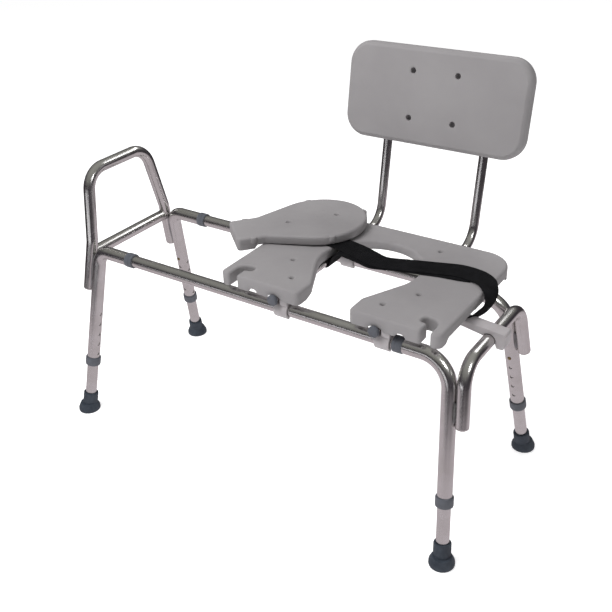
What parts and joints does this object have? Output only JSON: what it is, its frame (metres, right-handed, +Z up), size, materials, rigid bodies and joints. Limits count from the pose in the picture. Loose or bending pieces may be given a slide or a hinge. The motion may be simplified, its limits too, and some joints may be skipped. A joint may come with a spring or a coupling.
{
  "type": "bath transfer bench",
  "caption": "Bath transfer bench: a keyhole commode seat with a backrest slides along two rails on splayed telescopic legs; armrest, end rail, latch, lift-out insert and belt.",
  "frame": {"origin": "on the floor, at the middle of the bounding box with the seat latched and the legs fully in", "axes": "+X along the rails away from the armrest, +Y towards the backrest, +Z up"},
  "size_m": [0.98, 0.5758, 0.808],
  "materials": {
    "tube": "polished round tube with fine drawing lines",
    "grey_plastic": "fine leather grain, matte",
    "slate_plastic": "smooth, slightly satin",
    "foot_rubber": "dull moulded rubber",
    "nylon": "natural white nylon, slightly waxy",
    "steel": "plain zinc-plated",
    "button_brass": "worn, darkened",
    "webbing": "woven polypropylene webbing"
  },
  "bodies": {
    "root": {"front_rail": "tube", "rear_rail": "tube", "leg_front_left": "tube", "leg_front_right": "tube", "leg_rear_left": "tube", "leg_rear_right": "tube", "armrest_tube": "tube", "armrest_brace": "tube", "end_tube": "tube", "tube_end_caps": "tube", "rail_collars": "slate_plastic", "rail_screws": "steel", "leg_collars": "slate_plastic"},
    "carriage": {"seat_panel": "grey_plastic", "post_left": "tube", "post_right": "tube", "post_end_plugs": "slate_plastic", "glide_front_left": "nylon", "glide_front_right": "nylon", "glide_rear_left": "nylon", "glide_rear_right": "nylon", "backrest_panel": "grey_plastic", "latch_bracket": "grey_plastic", "latch_pin": "steel", "seat_belt": "webbing"},
    "latch": {"latch_arm": "nylon"},
    "insert": {"seat_insert": "grey_plastic"},
    "extension_front_left": {"extension_front_left": "tube", "foot_front_left": "foot_rubber", "spring_front_left": "steel"},
    "button_front_left": {"button_front_left": "button_brass"},
    "extension_front_right": {"extension_front_right": "tube", "foot_front_right": "foot_rubber", "spring_front_right": "steel"},
    "button_front_right": {"button_front_right": "button_brass"},
    "extension_rear_left": {"extension_rear_left": "tube", "foot_rear_left": "foot_rubber", "spring_rear_left": "steel"},
    "button_rear_left": {"button_rear_left": "button_brass"},
    "extension_rear_right": {"extension_rear_right": "tube", "foot_rear_right": "foot_rubber", "spring_rear_right": "steel"},
    "button_rear_right": {"button_rear_right": "button_brass"}
  },
  "joints": [
    {"name": "seat_slide", "type": "slide", "parent": "root", "child": "carriage", "axis": [1, 0, 0], "range_m": [-0.318, 0], "deforming": ["latch_arm"]},
    {"name": "latch_lift", "type": "hinge", "parent": "carriage", "child": "latch", "pos_m": [0.385, -0.07387, 0.4145], "axis": [0, -1, 0], "range_deg": [0, 20]},
    {"name": "insert_lift", "type": "slide", "parent": "carriage", "child": "insert", "axis": [0, 0, 1], "range_m": [0, 0.2]},
    {"name": "leg_front_left_extend", "type": "slide", "parent": "root", "child": "extension_front_left", "axis": [-0.0986, -0.1947, -0.9759], "range_m": [0, 0.1016], "deforming": ["button_front_left"]},
    {"name": "button_front_left_press", "type": "slide", "parent": "extension_front_left", "child": "button_front_left", "axis": [0, -0.9807, 0.1956], "range_m": [0, 0.0045], "stiffness_N_per_m": 400, "deforming": ["spring_front_left"]},
    {"name": "leg_front_right_extend", "type": "slide", "parent": "root", "child": "extension_front_right", "axis": [0.0986, -0.1947, -0.9759], "range_m": [0, 0.1016], "deforming": ["button_front_right"]},
    {"name": "button_front_right_press", "type": "slide", "parent": "extension_front_right", "child": "button_front_right", "axis": [0, -0.9807, 0.1956], "range_m": [0, 0.0045], "stiffness_N_per_m": 400, "deforming": ["spring_front_right"]},
    {"name": "leg_rear_left_extend", "type": "slide", "parent": "root", "child": "extension_rear_left", "axis": [-0.0986, 0.1947, -0.9759], "range_m": [0, 0.1016], "deforming": ["button_rear_left"]},
    {"name": "button_rear_left_press", "type": "slide", "parent": "extension_rear_left", "child": "button_rear_left", "axis": [0, 0.9807, 0.1956], "range_m": [0, 0.0045], "stiffness_N_per_m": 400, "deforming": ["spring_rear_left"]},
    {"name": "leg_rear_right_extend", "type": "slide", "parent": "root", "child": "extension_rear_right", "axis": [0.0986, 0.1947, -0.9759], "range_m": [0, 0.1016], "deforming": ["button_rear_right"]},
    {"name": "button_rear_right_press", "type": "slide", "parent": "extension_rear_right", "child": "button_rear_right", "axis": [0, 0.9807, 0.1956], "range_m": [0, 0.0045], "stiffness_N_per_m": 400, "deforming": ["spring_rear_right"]}
  ]
}
